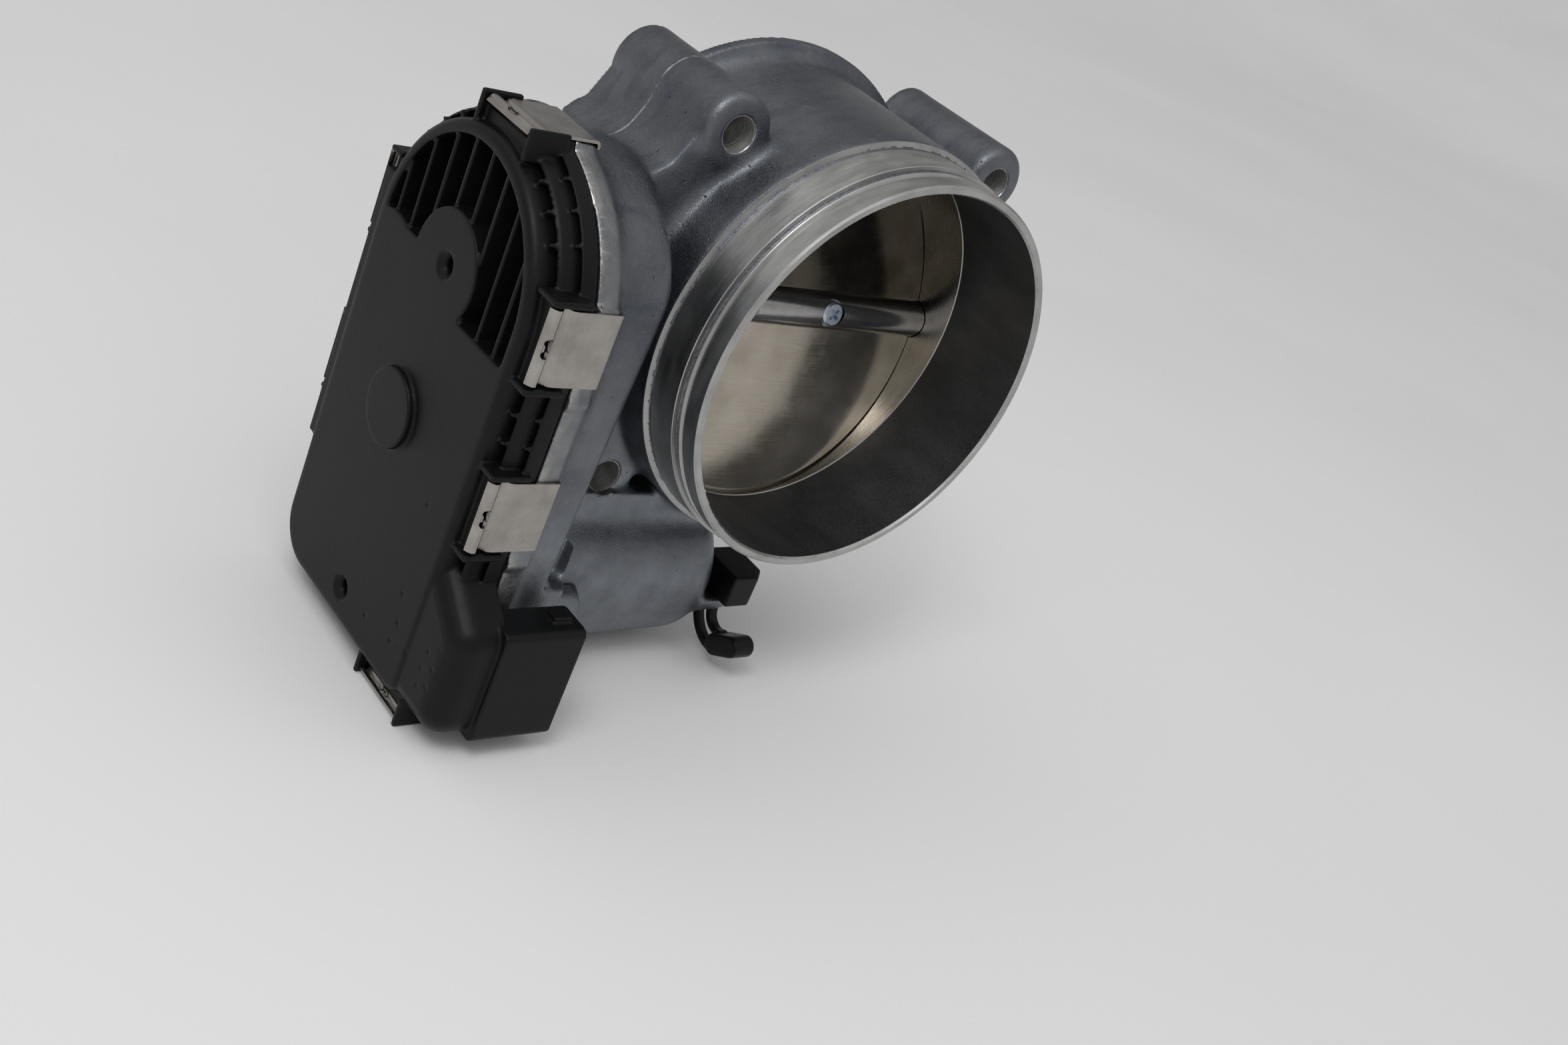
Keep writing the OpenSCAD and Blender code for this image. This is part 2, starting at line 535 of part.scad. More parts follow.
// ---- intermediate gear, pinion and motor ----
module intermediate_gear() color("ivory") from_shaft() translate([0, 0, inter_z]) difference() {
    union() {
        slab_x(small_x) gear(small_teeth, sector_m, 90 + 180 / small_teeth);
        slab_x(large_x) gear(large_teeth, motor_m, -90);
        rod_x([large_x[0] - 0.4, small_x[1]], 5.6);
        rod_x([small_x[0] - 1.1, small_x[0] + 0.1], 11);
    }
    rod_x([-80, -50], 2.55);
    // the web between rim and hub is thinner than both
    for (x = [large_x[0] - 1, large_x[1] - 1.2]) tube_x([x, x + 2.2], 12, 19.6);
}
module intermediate_axle() color("lightgray") from_shaft() rod_x([-77, -51.2], 2.5, 0, inter_z);
module motor_pinion() color("goldenrod") from_shaft() translate([0, 0, motor_z]) difference() {
    slab_x(pinion_x) gear(pinion_teeth, motor_m, 90 + 180 / pinion_teeth);
    rod_x([-80, -50], 1.6 + eps);
}
module on_motor() from_shaft() translate([0, 0, motor_z]) children();
module motor_can() color("silver") on_motor() turn_x() polygon([
    [can_r - 1.1, can_x[0]], [can_r, can_x[0]], [can_r, -9], [can_r - 1, can_x[1]],
    [5.4, can_x[1]], [5.4, -6.9], [0, -6.9], [0, -8], [4.2, -8], [4.2, -9.2], [can_r - 1.1, -9.2]
]);
module motor_end_cap() color("black") on_motor() difference() {
    union() {
        rod_x([-58, can_x[0]], can_r);
        rod_x([can_x[0] - 0.5, -52.4], can_r - 1.2);
        slab_x([-58, can_x[0] - 0.05]) for (turn = [0, 180]) rotate(turn) {
            translate([motor_screw_y, 0]) circle(r = 4.4);
            translate([12, -4.4]) square([motor_screw_y - 12, 8.8]);
        }
        rod_x([-60.2, -57.5], 5);
    }
    rod_x([-61, -50], 3.5);
    for (y = [-motor_screw_y, motor_screw_y]) rod_x([-60, -50], 2.1, y);
    for (y = [6.5, -11.5]) box([-60, -50], [y, y + 5], [-7.55, -6.35]);
    rod_x([-54.4, -50], 11.2);
}
module motor_terminals() color("gold") on_motor() for (y = [7, -11])
    box([-70, -54.4], [y, y + 4], [-7.3, -6.6]);
// a fork of two blades round each terminal
module motor_contacts() color("gold") on_motor() for (y = [7.2, -10.8], z = [-6.55, -7.85])
    box([-78.95, -67], [y, y + 3.6], [z, z + 0.5]);
module motor_magnets() color("dimgray") on_motor() for (a = [28, 208]) turn_x(124, a)
    translate([11.4, -46]) square([can_r - 1.15 - 11.4, 32]);
module motor_shaft() color("lightgray") on_motor() rod_x([-74, -8.4], 1.6);
arms = 5;
module armature_core() color("gray") on_motor() slab_x([-43, -18]) difference() {
    circle(r = 10.9);
    circle(r = 1.62);
    for (k = [0:arms - 1]) rotate(k * 360 / arms + 36) {
        translate([4.2, -1.9]) square([4.9, 3.8]);
        translate([4.2, -0.7]) square([8, 1.4]);
    }
}
module armature_windings() color("chocolate") on_motor() {
    for (k = [0:arms - 1]) rotate([k * 360 / arms + 36, 0, 0]) box([-45.6, -15.4], [4.4, 8.9], [-1.8, 1.8]);
    for (x = [-45.8, -17.9]) turn_x() translate([3.8, x])
        polygon([[0, 0], [4.4, 0], [5.4, 1], [5.4, 2.3], [4.8, 2.7], [0, 2.7]]);
}
module commutator() color("peru") on_motor() difference() {
    rod_x([-52.2, -46.4], 4.4);
    rod_x([-60, -40], 1.62);
    for (k = [0:arms - 1]) rotate([k * 360 / arms, 0, 0]) box([-53, -47.2], [3.4, 6], [-0.2, 0.2]);
}
module motor_brushes() color("darkslategray") on_motor() for (y = [4.5, -8.5])
    box([-51.8, -48.2], [y, y + 4], [-1.5, 1.5]);
module brush_springs() color("peru") on_motor() for (y = [8.55, -8.95])
    box([-52, -48], [y, y + 0.4], [-3.5, 6]);
module motor_bushes() color("goldenrod") on_motor() {
    tube_x([-60, -56], 1.65, 3.45);
    tube_x([-9.15, -8.05], 1.65, 4.15);
}
module motor_screws() color("silver") on_motor() for (y = [-motor_screw_y, motor_screw_y]) difference() {
    union() {
        rod_x([-58, -45], 1.7, y);
        rod_x([-60.6, -58], 3.4, y);
    }
    rod_x([-62, -59], 1.7, y, $fn = 6);
}
// a flat ring bent into three waves: four corners at each step round it
module motor_wave_washer() color("silver") on_motor() {
    steps = 72;
    corners = [[-0.25, 8], [-0.25, 12], [0.25, 12], [0.25, 8]];
    ring = [for (k = [0:steps - 1]) let (a = 360 * k / steps, x = -6.75 + 0.8 * cos(3 * a))
        each [for (c = corners) [x + c[0], c[1] * cos(a), c[1] * sin(a)]]];
    polyhedron(ring, [for (k = [0:steps - 1], i = [0:3])
        let (here = 4 * k, next = 4 * ((k + 1) % steps), j = (i + 1) % 4)
        [here + i, here + j, next + j, next + i]]);
}

// ---- cable strap ----
// block on the tongue, with its peg through the eye
module strap_holder() color("black") from_shaft() {
    translate([0, 0, tongue_z[1]]) linear_extrude(7.6) difference() {
        translate([motor_end_x + 2.5, -20]) square([9.5, 12.5]);
        translate([motor_end_x + 12, -20]) rotate(45) square([4, 4], center = true);
    }
    translate([motor_end_x + 4, -12, tongue_z[0]]) cylinder(h = tongue_z[1] - tongue_z[0] + 1, r = 1.9);
}
// two strands side by side that hang from the tongue, turn forwards and end in a thick tab
module cable_strap() color("black") from_shaft() {
    hook = [-17.5, -68.6];
    slab_x([3, 5.4]) {
        for (r = [3.1, 7.5]) translate(hook) difference() {
            circle(r = r + 1.7);
            circle(r = r);
            translate([-10, 0]) square(20);
            translate([-22, -12]) square([20, 14]);
        }
        translate(hook + [3.1, -0.1]) square([6.1, tongue_z[0] - hook[1] + 0.1]);
    }
    slab_x([1.6, 7.4]) {
        for (p = [[-20, -74.4], [-24.8, -71.6]]) translate(p) circle(r = 2.5);
        translate([-20, -74.4]) rotate(atan2(2.8, -4.8)) translate([0, -2.5]) square([norm([4.8, 2.8]), 5]);
    }
}

throttle_housing();
gear_cover();
cover_seal();
cover_clips();
connector_pins();
sensor_board();
sensor_chip();
motor_contacts();
throttle_shaft();
throttle_plate();
plate_screws();
sector_gear();
sector_insert();
sensor_magnet();
shaft_circlip();
needle_bearing_cup();
needle_rollers();
ball_bearing_outer_ring();
ball_bearing_inner_ring();
bearing_balls();
shaft_seals();
shaft_end_cap();
return_spring();
spring_bush();
closed_stop_screw();
intermediate_gear();
intermediate_axle();
motor_pinion();
motor_can();
motor_end_cap();
motor_terminals();
motor_magnets();
motor_shaft();
armature_core();
armature_windings();
commutator();
motor_brushes();
brush_springs();
motor_bushes();
motor_screws();
motor_wave_washer();
strap_holder();
cable_strap();
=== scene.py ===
"""Looks of an electronic throttle body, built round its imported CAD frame.

The casting, the cover and the strap are rebuilt from their solids with the rounded corners that a die and a
mould leave. The turned spigot, the lining of the air tube and the walls of the bolt holes are pieces of their
own. Lengths are in metres, and `mm` turns a drawing dimension into them.
"""

import json
import math

import bmesh
import bpy
import numpy as np
from mathutils import Matrix, Quaternion, Vector
from mathutils.bvhtree import BVHTree


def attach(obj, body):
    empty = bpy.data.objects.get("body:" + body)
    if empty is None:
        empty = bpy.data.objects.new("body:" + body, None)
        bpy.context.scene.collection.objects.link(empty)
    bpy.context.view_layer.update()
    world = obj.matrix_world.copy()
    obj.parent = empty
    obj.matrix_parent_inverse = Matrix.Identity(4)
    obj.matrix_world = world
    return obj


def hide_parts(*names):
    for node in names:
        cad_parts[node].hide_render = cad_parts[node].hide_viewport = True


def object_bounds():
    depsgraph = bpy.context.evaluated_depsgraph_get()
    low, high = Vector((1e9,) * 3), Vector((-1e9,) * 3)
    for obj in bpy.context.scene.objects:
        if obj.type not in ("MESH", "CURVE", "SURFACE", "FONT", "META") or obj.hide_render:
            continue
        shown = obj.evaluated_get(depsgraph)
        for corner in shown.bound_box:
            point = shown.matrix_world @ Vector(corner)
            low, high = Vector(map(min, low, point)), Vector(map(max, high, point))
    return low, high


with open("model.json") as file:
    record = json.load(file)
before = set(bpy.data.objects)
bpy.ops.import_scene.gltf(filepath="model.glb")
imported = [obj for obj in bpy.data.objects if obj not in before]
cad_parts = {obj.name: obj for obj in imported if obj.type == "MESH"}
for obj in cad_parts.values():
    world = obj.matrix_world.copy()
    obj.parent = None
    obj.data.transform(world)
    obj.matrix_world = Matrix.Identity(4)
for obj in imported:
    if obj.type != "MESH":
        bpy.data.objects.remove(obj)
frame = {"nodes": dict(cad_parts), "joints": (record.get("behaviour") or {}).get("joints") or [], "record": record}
cad_low, cad_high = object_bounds()
nodes = frame["nodes"]

mm = 0.001

# Places that the pieces share. The shaft and the bolts come from the frame.
flange = next(m for m in frame["record"]["mounts"] if m["name"] == "engine_flange")
throttle = next(j for j in frame["joints"] if j["name"] == "throttle_turn")
SHAFT_Y = throttle["pos_m"][1]
BOLT_X = flange["dims"]["spacing_x_mm"] * mm / 2
BOLT_Z = flange["dims"]["spacing_y_mm"] * mm / 2
CAST_BORE_R = 41.25 * mm
LIP_Y = SHAFT_Y - 33.9 * mm
BAND_END_Y = SHAFT_Y - 18.6 * mm
FINISHED_BORE_Y = SHAFT_Y - 10.3 * mm
ENGINE_FACE_Y = SHAFT_Y + 22.6 * mm
BOLT_WALL_R = 3.8 * mm
BOLT_HOLE_Y = SHAFT_Y - 9.05 * mm
MOTOR_Z = -61.25 * mm
CASE_DROP = 49 * mm
GEAR_CASE_X = -49 * mm
CASE_RIM_X = -69.7 * mm


# ---------------------------------------------------------------- materials
def spanned(tree, value, low, high, to_low, to_high):
    """A node that stretches low to high over to_low to to_high, and holds those outside."""
    node = tree.nodes.new("ShaderNodeMapRange")
    tree.links.new(value, node.inputs["Value"])
    for key, number in (("From Min", low), ("From Max", high), ("To Min", to_low), ("To Max", to_high)):
        node.inputs[key].default_value = number
    return node.outputs["Result"]


class Surface:
    """One node material: a Principled shader and short calls that add what feeds it."""

    def __init__(self, name, colour, roughness, metallic=0.0, **sockets):
        self.material = bpy.data.materials.new(name)
        self.material.use_nodes = True
        self.tree = self.material.node_tree
        self.shader = self.tree.nodes["Principled BSDF"]
        self.shader.inputs["Base Color"].default_value = (*colour, 1)
        self.shader.inputs["Roughness"].default_value = roughness
        self.shader.inputs["Metallic"].default_value = metallic
        for socket, value in sockets.items():
            self.shader.inputs[socket.replace("_", " ")].default_value = value
        self.place = self.add("ShaderNodeTexCoord").outputs["Object"]

    def add(self, kind, **settings):
        node = self.tree.nodes.new(kind)
        for key, value in settings.items():
            setattr(node, key, value)
        return node

    def feed(self, socket, source):
        if hasattr(source, "is_output"):
            self.tree.links.new(source, socket)
        else:
            socket.default_value = source

    def noise(self, size, detail=4.0, stretch=(1, 1, 1), roughness=0.55):
        """Cloudy noise from 0 to 1 whose blots are about size across, longer where stretch is above 1."""
        mapping = self.add("ShaderNodeMapping")
        self.feed(mapping.inputs["Vector"], self.place)
        mapping.inputs["Scale"].default_value = [1 / (size * s) for s in stretch]
        node = self.add("ShaderNodeTexNoise")
        node.inputs["Scale"].default_value = 1.0
        node.inputs["Detail"].default_value = detail
        node.inputs["Roughness"].default_value = roughness
        self.feed(node.inputs["Vector"], mapping.outputs["Vector"])
        return node.outputs["Fac"]

    def cells(self, size, feature="F1"):
        node = self.add("ShaderNodeTexVoronoi", feature=feature)
        node.inputs["Scale"].default_value = 1 / size
        self.feed(node.inputs["Vector"], self.place)
        return node.outputs["Distance"]

    def math(self, operation, a, b=0.0):
        node = self.add("ShaderNodeMath", operation=operation)
        self.feed(node.inputs[0], a)
        self.feed(node.inputs[1], b)
        return node.outputs[0]

    def span(self, value, low, high, to_low=0.0, to_high=1.0):
        return spanned(self.tree, value, low, high, to_low, to_high)

    def blend(self, share, a, b):
        """Colour a where share is 0 and b where it is 1."""
        node = self.add("ShaderNodeMix", data_type="RGBA")
        self.feed(node.inputs[0], share)
        self.feed(node.inputs[6], (*a, 1) if isinstance(a, tuple) else a)
        self.feed(node.inputs[7], (*b, 1) if isinstance(b, tuple) else b)
        return node.outputs[2]

    def mix(self, share, a, b):
        """Number a where share is 0 and b where it is 1."""
        node = self.add("ShaderNodeMix", data_type="FLOAT")
        self.feed(node.inputs[0], share)
        self.feed(node.inputs[2], a)
        self.feed(node.inputs[3], b)
        return node.outputs[0]

    def axis(self, name):
        node = self.add("ShaderNodeSeparateXYZ")
        self.feed(node.inputs[0], self.place)
        return node.outputs[name]

    def radius_about_bore(self):
        x = self.axis("X")
        z = self.axis("Z")
        return self.math("SQRT", self.math("ADD", self.math("MULTIPLY", x, x), self.math("MULTIPLY", z, z)))

    def rings(self, along, pitch, wobble=0.0):
        """Fine parallel tool marks along a coordinate, uneven in depth."""
        if wobble:
            along = self.math("ADD", along, self.math("MULTIPLY", self.noise(3 * mm), wobble))
        node = self.add("ShaderNodeTexNoise", noise_dimensions="1D")
        node.inputs["Detail"].default_value = 3.0
        node.inputs["Scale"].default_value = 1.0
        self.feed(node.inputs["W"], self.math("MULTIPLY", along, 1 / pitch))
        return node.outputs["Fac"]

    def attribute(self, name):
        return self.add("ShaderNodeAttribute", attribute_name=name).outputs["Fac"]

    def bump(self, height, distance, under=None, strength=1.0):
        node = self.add("ShaderNodeBump")
        node.inputs["Strength"].default_value = strength
        node.inputs["Distance"].default_value = distance
        self.feed(node.inputs["Height"], height)
        if under is not None:
            self.feed(node.inputs["Normal"], under)
        return node.outputs["Normal"]

    def colour(self, source):
        self.feed(self.shader.inputs["Base Color"], source)

    def rough(self, source):
        self.feed(self.shader.inputs["Roughness"], source)

    def normal(self, source):
        self.feed(self.shader.inputs["Normal"], source)


def cast_aluminium():
    """Shot-blasted die casting, blotched blue-grey, and bright wherever a tool has cut it."""
    s = Surface("cast_aluminium", (0.3, 0.31, 0.33), 0.45, 1.0)
    blots = s.noise(14 * mm, 5.0)
    streaks = s.noise(7 * mm, 4.0, stretch=(2.2, 0.5, 1))
    grain = s.noise(0.45 * mm, 3.0)
    skin = s.blend(s.span(blots, 0.38, 0.66), (0.125, 0.134, 0.15), (0.178, 0.188, 0.206))
    skin = s.blend(s.span(streaks, 0.5, 0.72, 0, 0.65), skin, (0.085, 0.097, 0.125))
    speckle = s.noise(2.6 * mm, 5.0, roughness=0.7)
    skin = s.blend(s.span(speckle, 0.56, 0.72, 0, 0.4), skin, (0.24, 0.245, 0.25))
    skin = s.blend(s.span(grain, 0.5, 0.8, 0, 0.35), skin, (0.27, 0.275, 0.285))
    pits = s.math("MULTIPLY", s.span(s.cells(2.4 * mm), 0.05, 0.12, 1, 0), s.span(s.noise(6 * mm), 0.5, 0.6))
    skin = s.blend(s.math("MULTIPLY", pits, 0.7), skin, (0.03, 0.03, 0.035))
    # the motor housing and the foot of the case are a shade paler and mottled
    mottle = s.span(s.noise(5 * mm, 5.0), 0.3, 0.7, 0.25, 0.85)
    low = s.math("MULTIPLY", s.span(s.axis("Z"), -0.024, -0.036), mottle)
    skin = s.blend(low, skin, (0.245, 0.262, 0.285))
    # thin bright line of flash where the die halves met
    off_seam = s.math("ABSOLUTE", s.math("SUBTRACT", s.axis("Y"), SHAFT_Y + 8 * mm))
    off_seam = s.math("SUBTRACT", off_seam, s.math("MULTIPLY", s.noise(4 * mm), 0.35 * mm))
    on_boss = s.math("MULTIPLY", s.span(s.axis("X"), -0.052, -0.05), s.span(s.axis("X"), -0.021, -0.025))
    seam = s.math("MULTIPLY", s.span(off_seam, -0.02 * mm, 0.16 * mm, 1, 0), on_boss)
    skin = s.blend(s.math("MULTIPLY", seam, s.span(s.noise(1.5 * mm), 0.4, 0.6)), skin, (0.4, 0.4, 0.4))
    # rim of the gear case, rubbed bright in places
    on_rim = s.span(s.axis("X"), -0.0658, -0.0651, 1, 0)
    paler = s.span(s.noise(4 * mm, 5.0), 0.3, 0.6, 0.3, 0.9)
    skin = s.blend(s.math("MULTIPLY", on_rim, paler), skin, (0.26, 0.264, 0.27))
    at_edge = s.span(s.axis("X"), -0.0688, -0.0676, 1, 0)
    rubbed = s.math("MULTIPLY", at_edge, s.span(s.noise(9 * mm), 0.42, 0.55))
    skin = s.blend(rubbed, skin, (0.36, 0.355, 0.345))
    cut = s.span(s.attribute("cut"), -0.03, 0.03)
    bright = s.blend(s.noise(5 * mm), (0.36, 0.355, 0.345), (0.46, 0.455, 0.44))
    s.colour(s.blend(cut, skin, bright))
    marks = s.rings(s.axis("Y"), 0.16 * mm)
    s.rough(s.mix(cut, s.span(grain, 0.3, 0.7, 0.33, 0.5), s.span(marks, 0.3, 0.7, 0.2, 0.34)))
    skin_bump = s.bump(s.noise(0.28 * mm, 2.0), 0.07 * mm, s.bump(s.noise(2.2 * mm, 3.0), 0.10 * mm))
    skin_bump = s.bump(s.math("SUBTRACT", seam, pits), 0.15 * mm, skin_bump)
    cut_bump = s.bump(marks, 0.012 * mm)
    both = s.add("ShaderNodeMix", data_type="VECTOR")
    s.feed(both.inputs[0], cut)
    s.feed(both.inputs[4], skin_bump)
    s.feed(both.inputs[5], cut_bump)
    s.normal(both.outputs[1])
    return s.material


def turned_aluminium():
    """The turned spigot: bright, with the fine rings of the lathe tool and a few handling marks."""
    s = Surface("turned_aluminium", (0.5, 0.5, 0.49), 0.24, 1.0, Anisotropic=0.3)
    along = s.math("ADD", s.axis("Y"), s.math("MULTIPLY", s.radius_about_bore(), 0.37))
    fine = s.rings(along, 0.09 * mm)
    broad = s.rings(along, 0.9 * mm)
    patches = s.noise(9 * mm, 4.0, stretch=(1, 0.35, 1))
    s.colour(s.blend(s.span(patches, 0.35, 0.7), (0.36, 0.36, 0.355), (0.5, 0.5, 0.49)))
    s.rough(s.math("ADD", s.span(fine, 0.3, 0.7, 0.26, 0.4), s.span(patches, 0.4, 0.75, 0, 0.1)))
    s.normal(s.bump(fine, 0.014 * mm, s.bump(broad, 0.025 * mm)))
    return s.material


def bore_surface():
    """Inside of the tube: a matte cast wall in front, painted darker than the outside casting as shade inside the
    tube, and finely bored metal behind the step.
    """
    s = Surface("bore", (0.1, 0.1, 0.1), 0.5, 1.0)
    finished = s.span(s.axis("Y"), FINISHED_BORE_Y - 0.12 * mm, FINISHED_BORE_Y)
    stains = s.noise(8 * mm, 5.0, stretch=(1, 1.8, 1))
    grain = s.noise(0.4 * mm, 3.0)
    # painted shade: the cast wall in front of the step is coloured darker than the outside casting, as shade
    # inside the tube
    painted_shade_wall = s.blend(s.span(stains, 0.35, 0.7), (0.085, 0.087, 0.092), (0.13, 0.133, 0.14))
    painted_shade_wall = s.blend(s.span(grain, 0.5, 0.8, 0, 0.4), painted_shade_wall, (0.2, 0.2, 0.21))
    bright = s.blend(stains, (0.42, 0.4, 0.37), (0.56, 0.54, 0.5))
    s.colour(s.blend(finished, painted_shade_wall, bright))
    marks = s.rings(s.axis("Y"), 0.12 * mm)
    s.rough(s.mix(finished, s.span(grain, 0.3, 0.7, 0.44, 0.56), s.span(marks, 0.3, 0.7, 0.18, 0.3)))
    s.normal(s.bump(s.mix(finished, grain, s.math("MULTIPLY", marks, 0.3)), 0.015 * mm,
                    s.bump(s.noise(4 * mm, 2.0), 0.02 * mm)))
    return s.material


def drilled_aluminium():
    """Wall of a drilled hole, pale and scored by the drill."""
    s = Surface("drilled_aluminium", (0.7, 0.7, 0.69), 0.5, 0.85)
    scores = s.rings(s.axis("Y"), 0.35 * mm, 0.3 * mm)
    s.colour(s.blend(s.noise(2 * mm), (0.34, 0.337, 0.33), (0.6, 0.6, 0.59)))
    s.rough(s.span(scores, 0.3, 0.7, 0.4, 0.6))
    s.normal(s.bump(scores, 0.2 * mm))
    return s.material


def cover_plastic():
    """Matte black glass-filled plastic with a spark-eroded grain, greyer where it has been rubbed."""
    s = Surface("cover_plastic", (0.012, 0.012, 0.013), 0.44, 0.0, Specular_IOR_Level=0.2)
    grain = s.noise(0.16 * mm, 2.0)
    cloud = s.noise(18 * mm, 4.0)
    s.colour(s.blend(s.span(cloud, 0.35, 0.7), (0.0026, 0.0028, 0.0031), (0.005, 0.0053, 0.0057)))
    s.rough(s.math("ADD", s.span(grain, 0.3, 0.7, 0.36, 0.46), s.span(cloud, 0.4, 0.7, 0, 0.06)))
    s.normal(s.bump(grain, 0.012 * mm, s.bump(s.noise(1.4 * mm, 2.0), 0.015 * mm)))
    return s.material


def brushed(name, colour, dark, roughness, along=(1, 1, 1), size=0.5 * mm):
    """Rolled or drawn steel: thin lines along one way, and a faint cloud of tarnish."""
    s = Surface(name, colour, roughness, 1.0)
    lines = s.noise(size, 3.0, stretch=along)
    cloud = s.noise(6 * mm, 4.0)
    s.colour(s.blend(s.span(cloud, 0.35, 0.7), dark, colour))
    s.rough(s.math("ADD", s.span(lines, 0.3, 0.7, roughness - 0.06, roughness + 0.06),
                   s.span(cloud, 0.5, 0.8, 0, 0.08)))
    s.normal(s.bump(lines, 0.012 * mm))
    return s.material


def plate_metal():
    """The butterfly: lapped to a warm satin mirror, in its own warm tone below the shaft, with a painted dark
    reflection of the tube's front wall above it.
    """
    s = Surface("plate_metal", (0.62, 0.56, 0.47), 0.17, 1.0)
    lines = s.noise(0.22 * mm, 2.0, stretch=(30, 1, 1))
    cloud = s.noise(9 * mm, 5.0)
    plate_tone = s.blend(s.span(cloud, 0.35, 0.72), (0.4, 0.362, 0.3), (0.55, 0.505, 0.43))
    # painted reflection: above the shaft the plate is coloured dark brown, standing in for the dark front wall of
    # the tube mirrored in it
    painted_dark_reflection = s.blend(s.span(cloud, 0.35, 0.72), (0.06, 0.052, 0.04), (0.13, 0.115, 0.092))
    height = s.math("ADD", s.axis("Z"), s.math("MULTIPLY", cloud, 6 * mm))
    s.colour(s.blend(s.span(height, 0.5 * mm, 8 * mm), plate_tone, painted_dark_reflection))
    s.rough(s.math("ADD", s.span(lines, 0.3, 0.7, 0.12, 0.2), s.span(cloud, 0.45, 0.75, 0, 0.1)))
    s.normal(s.bump(lines, 0.004 * mm, s.bump(s.noise(5 * mm, 2.0), 0.02 * mm)))
    return s.material


def moulded(name, colour, light, roughness, grain=0.25 * mm, specular=0.5):
    """Plain moulded plastic or carbon with a fine grain and a soft change of shade."""
    s = Surface(name, colour, roughness, Specular_IOR_Level=specular)
    fine = s.noise(grain, 2.0)
    s.colour(s.blend(s.span(s.noise(6 * mm), 0.35, 0.7), colour, light))
    s.rough(s.span(fine, 0.3, 0.7, roughness - 0.06, roughness + 0.06))
    s.normal(s.bump(fine, 0.015 * mm))
    return s.material


def wound_copper():
    """Enamelled wire, wound side by side."""
    s = Surface("copper", (0.6, 0.24, 0.1), 0.3, 1.0, Coat_Weight=0.6)
    turns = s.rings(s.axis("X"), 0.35 * mm)
    s.colour(s.blend(turns, (0.42, 0.15, 0.06), (0.75, 0.34, 0.16)))
    s.rough(s.span(turns, 0.3, 0.7, 0.22, 0.4))
    s.normal(s.bump(turns, 0.06 * mm))
    return s.material


def board():
    """Circuit board: green mask with faint tracks under it."""
    s = Surface("board_green", (0.02, 0.11, 0.05), 0.35)
    tracks = s.math("LESS_THAN", s.cells(1.6 * mm, "DISTANCE_TO_EDGE"), 0.08)
    s.colour(s.blend(tracks, (0.015, 0.085, 0.04), (0.04, 0.16, 0.07)))
    s.rough(s.span(s.noise(0.8 * mm), 0.3, 0.7, 0.25, 0.42))
    s.normal(s.bump(tracks, 0.02 * mm))
    return s.material


SLOTS = {
    "cast_aluminium": cast_aluminium(),
    "cover_plastic": cover_plastic(),
    "seal_rubber": moulded("seal_rubber", (0.012, 0.012, 0.012), (0.022, 0.022, 0.022), 0.6),
    "clip_steel": brushed("clip_steel", (0.42, 0.4, 0.375), (0.3, 0.28, 0.26), 0.26, (16, 1, 1),
                          0.3 * mm),
    "pin_brass": brushed("pin_brass", (0.75, 0.62, 0.36), (0.62, 0.5, 0.28), 0.28, (9, 1, 1), 0.3 * mm),
    "board_green": board(),
    "chip_black": moulded("chip_black", (0.014, 0.014, 0.016), (0.03, 0.03, 0.032), 0.5),
    "shaft_steel": brushed("shaft_steel", (0.46, 0.45, 0.44), (0.34, 0.335, 0.33), 0.14, (0.25, 8, 8),
                           0.5 * mm),
    "plate_metal": plate_metal(),
    "zinc_screw": brushed("zinc_screw", (0.62, 0.68, 0.74), (0.46, 0.52, 0.6), 0.3, (1, 1, 1), 0.8 * mm),
    "gear_plastic": moulded("gear_plastic", (0.7, 0.66, 0.54), (0.78, 0.74, 0.63), 0.42),
    "magnet_grey": moulded("magnet_grey", (0.05, 0.05, 0.055), (0.09, 0.09, 0.095), 0.5),
    "bearing_steel": brushed("bearing_steel", (0.78, 0.78, 0.78), (0.68, 0.68, 0.68), 0.12, (4, 4, 4),
                             0.4 * mm),
    "seal_brown": moulded("seal_brown", (0.14, 0.05, 0.025), (0.2, 0.08, 0.045), 0.5),
    "spring_wire": brushed("spring_wire", (0.5, 0.49, 0.47), (0.34, 0.33, 0.31), 0.28, (1, 6, 6), 0.4 * mm),
    "black_plastic": moulded("black_plastic", (0.002, 0.002, 0.0023), (0.0045, 0.0045, 0.005), 0.4,
                             specular=0.22),
    "can_steel": brushed("can_steel", (0.68, 0.68, 0.66), (0.54, 0.54, 0.52), 0.26, (12, 1, 1), 0.4 * mm),
    "copper": wound_copper(),
    "carbon": moulded("carbon", (0.02, 0.02, 0.02), (0.04, 0.04, 0.04), 0.55),
    "bronze": brushed("bronze", (0.62, 0.44, 0.22), (0.5, 0.34, 0.15), 0.36, (1, 1, 1), 0.3 * mm),
}
for part in frame["record"]["subparts"]:
    mesh = nodes[part["node"]].data
    mesh.materials.clear()
    mesh.materials.append(SLOTS[part["material_slot"]])


# ---------------------------------------------------------------- meshes
BIG_PIECE_TRIANGLES = 190_000
TUBE_STEPS = 256
STRIDE = 0.9


def new_piece(name, mesh, body, slot, *stands_for):
    """Links a finished mesh as a piece of the object that rides on a body."""
    piece = bpy.data.objects.new(name, mesh)
    bpy.context.scene.collection.objects.link(piece)
    mesh.materials.clear()
    mesh.materials.append(SLOTS[slot])
    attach(piece, body)
    if stands_for:
        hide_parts(*stands_for)
    return piece


def welded(node):
    """A CAD node's own surface as one connected bmesh."""
    bm = bmesh.new()
    bm.from_mesh(nodes[node].data)
    bmesh.ops.remove_doubles(bm, verts=bm.verts, dist=0.001 * mm)
    return bm


